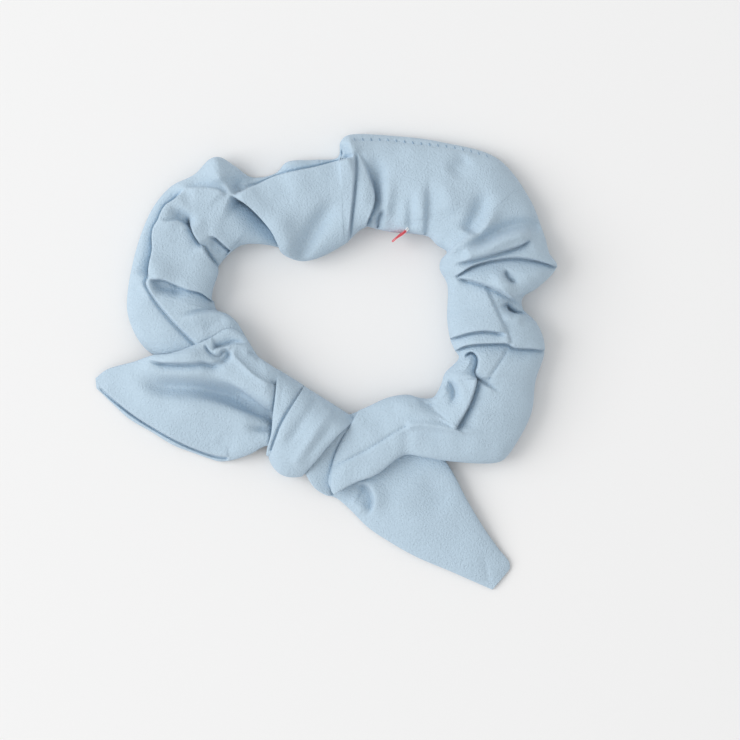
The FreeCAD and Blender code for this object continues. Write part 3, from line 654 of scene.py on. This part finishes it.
def lay_right_tail_folds(cloth):
    cloth.valley([(7.1, -22.7), (3.2, -26.1), (-1.1, -29.8), (-4.8, -33.9), (-7.9, -37.6),
                 (-10.3, -40.5)], 1.8, 0.5, ends=(0.05, 0.05))
    cloth.valley([(7.4, -26.4), (4.4, -31.9), (2.3, -38.7), (1.8, -44.8), (2.3, -49.7)], 2.0, 0.5,
                 ends=(0.05, 0.05))
    cloth.fold([(11.2, -44.7), (14.6, -45.7), (17.0, -49.4), (17.1, -53.7), (15.2, -57.7)], 2.2, 2.4,
               1.0, ends=(0.2, 0.4), lip_width=4, drop_width=4, turn=1.6, slot=0.3)
    cloth.ridge([(8.4, -49.7), (12.1, -52.8), (13.3, -57.1)], 1.2, 2.5)
    cloth.valley([(56.6, -69.4), (58.5, -74.3), (59.7, -80.4)], 0.4, 1.2, ends=(0.6, 0))
    cloth.ridge([(36.7, -39.9), (39.1, -46.0), (45.3, -55.3)], -0.8, 5.0)
    cloth.ridge([(24.4, -46.0), (29.3, -55.3), (39.1, -64.5)], 0.7, 5.0)
    cloth.ripple(0.6, 12.0, 8.0)


def make_right_tail():
    """The long end of the sash, from the knot's last panel, under the strap and out to its point."""
    left = [
        (-12.5, -33.8), (-8.8, -39.9), (-5.1, -46.0), (-0.8, -49.2), (3.5, -50.5), (8.4, -54.6),
        (14.8, -61.0), (22.2, -66.1), (33.2, -72.3), (45.5, -77.5), (55.3, -81.8), (61.2, -84.4),
    ]
    right = [
        (4.7, -19.0), (8.4, -21.5), (15.8, -21.5), (26.8, -22.7), (36.7, -27.6), (41.8, -33.9),
        (46.7, -41.3), (51.6, -50.8), (57.7, -61.0), (63.3, -69.0), (67.3, -74.0), (67.7, -76.7),
    ]
    heights = [
        (7.0, 9.0, 1.0, 1.0, 0), (5.5, 9.0, 2.2, 1.5, 0), (4.0, 7.0, 2.2, 1.2, 0),
        (2.5, 5.0, 1.4, 1.0, 0),
        (1.6, 4.6, 1.8, 0.8, 0), (1.3, 4.2, 2.8, 0.8, 0), (1.2, 4.0, 3.4, 0.8, 0),
        (1.2, 3.6, 3.4, 0.8, 0),
        (1.2, 2.8, 3.0, 0.8, 0), (1.2, 2.0, 2.2, 0.8, 0), (1.0, 1.4, 1.3, 0.6, 0),
        (0.8, 1.0, 0.3, 0.3, 0),
    ]
    table = sections(left, right, heights, TAIL_COLUMNS)
    tail = drape("right_tail_cloth", table, (80, 80), 0.85, lay_right_tail_folds, False,
                 np.full(len(table), FLOOR_GAP), 0.2, 2, sash_cloth)
    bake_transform(tail)
    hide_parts("right_tail", "sash_under_strap")


def lay_outer_wrap_folds(cloth):
    cloth.ridge([(-3.0, -12.9), (-9.2, -22.7), (-16.9, -33.8)], -1.1, 2.0, ends=(0.1, 0.3))
    cloth.ridge([(2.5, -16.6), (-4.3, -26.4), (-12.3, -38.7)], 1.2, 2.2, ends=(0.1, 0.1))
    cloth.ridge([(3.1, -22.1), (-2.4, -28.8), (-8.6, -36.8)], -0.8, 1.6)
    cloth.ripple(0.6, 8.0, 14.0)


def lay_inner_wrap_folds(cloth):
    cloth.valley([(-8.6, -9.2), (-11.8, -14.6), (-14.5, -19.0), (-17.2, -24.2), (-19.3, -29.5),
                 (-20.7, -33.5)], 1.6, 0.5, ends=(0.05, 0.05))
    cloth.valley([(-15.6, -4.9), (-16.2, -11.0), (-17.8, -19.0)], 0.5, 1.6)
    cloth.valley([(-16.2, -23.9), (-18.4, -28.8), (-20.2, -33.8)], 0.8, 1.0)
    cloth.ripple(0.5, 8.0, 21.0)


def make_knot():
    """The knot is the sash wrapped round the ring twice, the second turn over the first."""
    left = [
        (-8.9, -11.7), (-8.5, -8.9), (-9.3, -10.9), (-11.6, -14.7), (-14.2, -19.0), (-17.0, -24.2),
        (-19.0, -29.5), (-20.5, -33.5), (-21.5, -35.7), (-20.2, -34.1),
    ]
    right = [
        (8.0, -22.7), (10.2, -20.7), (9.2, -22.4), (7.1, -24.4), (4.3, -27.0), (0.6, -31.0),
        (-3.0, -35.4), (-6.4, -39.3), (-9.4, -42.4), (-8.9, -39.6),
    ]
    heights = [
        (0.8, 0.8, 0.3, 0.3, 0), (4.5, 4.5, 0.6, 0.6, 0), (9.5, 9.0, 1.0, 1.0, 0),
        (13.2, 12.2, 1.6, 1.0, 0),
        (15.0, 13.2, 1.8, 1.0, 0), (15.0, 13.0, 1.8, 1.0, -0.3), (13.2, 12.0, 1.6, 1.0, -1.2),
        (10.0, 9.0, 1.4, 1.0, -2.2), (4.5, 4.5, 0.8, 0.6, -3.0), (0.8, 0.8, 0.3, 0.3, -2.5),
    ]
    table = sections(left, right, heights, WRAP_COLUMNS)
    outer = drape("knot_outer_wrap", table, (64, 64), 0.7, lay_outer_wrap_folds, False,
                  np.full(len(table), FLOOR_GAP), 0.5, 2, sash_cloth)
    left = [
        (-17.8, -4.9), (-18.3, -2.6), (-18.4, -4.9), (-18.6, -9.2), (-19.1, -14.7), (-19.8, -20.2),
        (-20.4, -26.4), (-21.8, -31.3), (-22.3, -34.7), (-20.5, -33.8),
    ]
    right = [
        (-8.0, -11.7), (-8.6, -8.7), (-8.9, -11.0), (-9.5, -15.3), (-11.0, -19.6), (-12.9, -24.5),
        (-14.7, -29.5), (-16.6, -33.8), (-18.4, -36.8), (-17.8, -35.0),
    ]
    heights = [
        (0.8, 0.8, 0.3, 0.3, 0), (4.5, 4.5, 0.6, 0.6, 0), (9.6, 9.0, 1.0, 1.0, 0),
        (12.2, 12.0, 1.2, 1.0, 0),
        (12.8, 13.2, 1.2, 1.0, 0), (12.4, 13.4, 1.2, 1.0, 0), (11.0, 12.4, 1.2, 1.0, 0),
        (8.4, 9.5, 1.0, 1.0, 0), (4.5, 4.5, 0.6, 0.6, 0), (0.8, 0.8, 0.3, 0.3, 0),
    ]
    table = sections(left, right, heights, WRAP_COLUMNS)
    inner = drape("knot_inner_wrap", table, (48, 48), 0.7, lay_inner_wrap_folds, False,
                  np.full(len(table), FLOOR_GAP), 0.5, 2, sash_cloth)
    for piece, flat in ((outer, (0.019, 0.045)), (inner, (0.011, 0.042))):
        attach(piece, "front")
        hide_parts("knot")


# ---------------------------------------------------------------- elastic, stitches and label


def make_elastic(table, under):
    """The flat loop inside the casing."""
    share, half_width, half_thick = 0.42, 2.6, 0.4
    middle = table[:, 0:2] + (table[:, 2:4] - table[:, 0:2]) * share
    outward = table[:, 2:4] - table[:, 0:2]
    outward /= np.linalg.norm(outward, axis=1, keepdims=True)
    height = under + 2.0
    points = []
    corners = 12
    for k in range(0, len(table), 4):
        for c in range(corners):
            turn = 2 * math.pi * c / corners
            flat = np.sign(math.cos(turn)) * abs(math.cos(turn)) ** 0.5 * half_width
            thick = np.sign(math.sin(turn)) * abs(math.sin(turn)) ** 0.6 * half_thick
            x, y = middle[k] + outward[k] * flat
            points.append((x, y, height[k] + thick))
    count = len(points) // corners
    faces = [
        (i * corners + c, (i + 1) % count * corners + c,
         (i + 1) % count * corners + (c + 1) % corners, i * corners + (c + 1) % corners)
        for i in range(count) for c in range(corners)
    ]
    band = new_piece("elastic_loop", points, faces, elastic_finish)
    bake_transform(band)
    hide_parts("elastic_front", "elastic_back", "elastic_left_side", "elastic_right_side")
    return middle, height


def stitch_points(start, end, radius, sag):
    """One stitch: a short round thread from start to end that dips into the cloth at both ends."""
    start, end = np.array(start, float), np.array(end, float)
    aim = end - start
    length = np.linalg.norm(aim)
    aim /= length
    side = np.cross(aim, (0, 0, 1))
    side /= np.linalg.norm(side)
    up = np.cross(side, aim)
    steps, corners = 7, 6
    points = []
    for i in range(steps):
        t = i / (steps - 1)
        thick = radius * (0.45 + 0.55 * math.sin(math.pi * t) ** 0.5)
        centre = start + (end - start) * t - up * sag * (2 * t - 1) ** 2
        for c in range(corners):
            turn = 2 * math.pi * c / corners
            points.append(centre + (side * math.cos(turn) + up * math.sin(turn)) * thick)
    faces = [
        (i * corners + c, i * corners + (c + 1) % corners,
         (i + 1) * corners + (c + 1) % corners, (i + 1) * corners + c)
        for i in range(steps - 1) for c in range(corners)
    ]
    faces.append(tuple(range(corners))[::-1])
    faces.append(tuple((steps - 1) * corners + c for c in range(corners)))
    return points, faces


def make_stitches(name, pairs, radius, sag=0.25):
    """A row of stitches as one piece."""
    points, faces = [], []
    for start, end in pairs:
        more, around = stitch_points(start, end, radius, sag)
        faces += [tuple(len(points) + k for k in face) for face in around]
        points += more
    return new_piece(name, points, faces, thread_finish)


def make_join_stitches(middle, height):
    """The row of short stitches across the elastic's lapped join, at the back."""
    pairs = []
    join = np.argmin(np.hypot(middle[:, 0] + 10.5, middle[:, 1] - 63.5))
    centre = middle[join]
    z = height[join] + 0.5
    for k in range(6):
        x = centre[0] - 1.5 + 0.6 * k
        pairs.append(((x, centre[1] + 1.1, z), (x + 0.25, centre[1] - 1.1, z)))
    row = make_stitches("elastic_join_row", pairs, 0.14, 0.1)
    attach(row, "back")
    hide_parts("elastic_join_stitches")


def surface_of(piece):
    """Gives the height in millimetres of a piece's upper surface under a plan point."""
    corners = [v.co for v in piece.data.vertices]
    tree = BVHTree.FromPolygons(corners, [face.vertices for face in piece.data.polygons])

    def height(x, y):
        hit = tree.ray_cast(Vector((x * MM, y * MM, 0.1)), Vector((0, 0, -1)))
        return hit[0].z / MM if hit[0] is not None else 0.0

    return height


def along_surface(line, pitch, length, height, lift):
    """Pairs of stitch ends along a line, each laid on the surface."""
    total = np.linalg.norm(np.diff(line, axis=0), axis=1).sum()
    places = evenly(line, int(total / pitch) * 2 + 1)
    pairs = []
    for k in range(1, len(places) - 1, 2):
        aim = places[k + 1] - places[k - 1]
        aim = aim / np.linalg.norm(aim) * length / 2
        a = places[k] - aim
        b = places[k] + aim
        pairs.append(((*a, height(*a) + lift), (*b, height(*b) + lift)))
    return pairs


def make_seam(ring):
    """The thread of the casing's lengthwise seam, where it comes up between the folds."""
    height = surface_of(ring)
    lines = [
        [(-65.3, 31.1), (-66.1, 29.0), (-63.8, 24.3), (-57.0, 15.7), (-49.4, 7.8)],
        [(2.7, -38.4), (14.6, -32.5), (24.4, -26.4), (29.3, -23.6)],
        [(66.0, 4.0), (65.0, 2.0), (62.3, -2.1), (60.1, -5.4), (58.5, -8.0)],
    ]
    pairs = []
    for points in lines:
        pairs += along_surface(line_through(points), 1.35, 1.2, height, -0.04)
    seam = make_stitches("lengthwise_seam", pairs, 0.1, 0.06)
    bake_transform(seam)
    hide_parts("seam_thread_gather", "seam_thread_strap", "seam_thread_back",
                "seam_thread_left_side", "seam_thread_right_side")


def make_topstitch(ring):
    """The row that shut the casing after it was turned out."""
    height = surface_of(ring)
    line = line_through([(10.0, 81.5), (15.8, 81.6), (22.0, 81.5), (28.1, 80.8), (34.3, 80.1),
    (40.4, 79.5), (45.3, 78.9), (51.5, 77.7), (58.8, 75.4)])
    places = evenly(line, 17)
    pairs = []
    for k, (x, y) in enumerate(places):
        lean = 0.25 + 0.3 * ((k * 7) % 5) / 4
        a = (x - 0.3 * lean, y + 1.0)
        b = (x + 0.2 + 0.5 * lean, y - 0.4)
        pairs.append(((*a, height(*a) + 0.05), (*b, height(*b) + 0.05)))
    row = make_stitches("closing_topstitch_row", pairs, 0.2)
    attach(row, "back")
    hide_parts("closing_topstitch")


def make_label():
    """A folded ribbon label on its edge: red, with its white back showing at the seam."""
    low, high = 5.2, 10.8
    root, tip = np.array((29.8, 49.2)), np.array((24.2, 44.1))
    aim = (tip - root) / np.linalg.norm(tip - root)
    side = np.array([-aim[1], aim[0]])
    length = np.linalg.norm(tip - root)
    half_gap, half_thick = 0.2, 0.15
    path = [(0.0, half_gap * 1.6), (length * 0.3, half_gap * 1.2), (length * 0.7, half_gap)]
    path += [(length - half_gap + half_gap * math.cos(a), half_gap * math.sin(a))
             for a in np.linspace(math.pi / 2, -math.pi / 2, 9)]
    path += [(length * 0.7, -half_gap), (length * 0.3, -half_gap * 1.2), (0.0, -half_gap * 1.6)]
    path = evenly(line_through(path, 0.2), 61)
    run = np.gradient(path, axis=0)
    run /= np.linalg.norm(run, axis=1, keepdims=True)
    normal = np.stack([-run[:, 1], run[:, 0]], axis=1)
    rows = [(half_thick, low), (half_thick, high), (-half_thick, high), (-half_thick, low)]
    points = []
    for p, n in zip(path, normal):
        for off, z in rows:
            q = p + n * off
            wave = (0.25 * math.sin(q[0] * 0.7) + 0.4) * (z - low) / (high - low) - 0.2
            x, y = root + aim * q[0] + side * (q[1] + wave)
            points.append((x, y, z))
    count = len(path)
    faces = [
        (i * 4 + c, i * 4 + (c + 1) % 4, (i + 1) * 4 + (c + 1) % 4, (i + 1) * 4 + c)
        for i in range(count - 1) for c in range(4)
    ]
    faces += [(3, 2, 1, 0), tuple((count - 1) * 4 + c for c in range(4))]
    label = new_piece("ribbon_label", points, faces, ribbon_red)
    label.data.materials.append(ribbon_white)
    for face in label.data.polygons:
        middle = sum(path[min(v // 4, count - 1)][0] for v in face.vertices) / len(face.vertices)
        face.material_index = 1 if middle < 1.3 else 0
    label.data.shade_flat()
    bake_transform(label)
    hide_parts("label")
    pairs = []
    for across in (0.6, -0.6):
        start = root + side * across
        end = start - aim * 1.2
        pairs += [((*start, z), (*end, z)) for z in (6.5, 9.3)]
    holding = make_stitches("label_holding_stitches", pairs, 0.13, 0.05)
    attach(holding, "back")
    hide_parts("label_stitches")


ring = make_ring()
ring_sections, ring_under, _ = ring_table(RING_COLUMNS)
elastic_middle, elastic_height = make_elastic(ring_sections, ring_under)
make_join_stitches(elastic_middle, elastic_height)
make_seam(ring)
make_topstitch(ring)
ring_surface = surface_of(ring)
finish_ring(ring)
make_left_tail(ring_surface)
make_right_tail()
make_knot()
make_label()


# ---------------------------------------------------------------- stage, light and camera


def make_stage():
    mesh = bpy.data.meshes.new("floor")
    half = 1.5
    corners = [(-half, -half, 0), (half, -half, 0), (half, half, 0), (-half, half, 0)]
    mesh.from_pydata(corners, [], [(0, 1, 2, 3)])
    mesh.materials.append(plain("paper", (0.9, 0.9, 0.9), 0.9, 4000, 0.00001))
    floor = bpy.data.objects.new("floor", mesh)
    bpy.context.scene.collection.objects.link(floor)


def make_light():
    """A bright white room, with one large soft light high on the left."""
    scene = bpy.context.scene
    scene.view_settings.view_transform = "Standard"
    world = bpy.data.worlds.new("studio")
    world.use_nodes = True
    background = world.node_tree.nodes["Background"]
    background.inputs["Color"].default_value = (1.0, 1.0, 1.0, 1)
    background.inputs["Strength"].default_value = 0.705
    scene.world = world
    lamp = bpy.data.lights.new("softbox", "AREA")
    lamp.shape = "SQUARE"
    lamp.size = 2.8
    lamp.energy = 87
    box = bpy.data.objects.new("softbox", lamp)
    box.location = (-2.9, 0.1, 2.2)
    aim = (-box.location).to_track_quat("-Z", "Y")
    box.rotation_euler = aim.to_euler()
    scene.collection.objects.link(box)


def make_camera():
    """Straight above, with the whole frame 274 mm wide on the surface."""
    height, across = 1.3, 0.274
    data = bpy.data.cameras.new("overhead")
    data.sensor_width = 36
    data.lens = data.sensor_width * height / across
    data.clip_end = 20
    camera = bpy.data.objects.new("overhead", data)
    camera.location = (0.0159, -0.0031, height)
    bpy.context.scene.collection.objects.link(camera)
    bpy.context.scene.camera = camera


make_stage()
make_light()
make_camera()
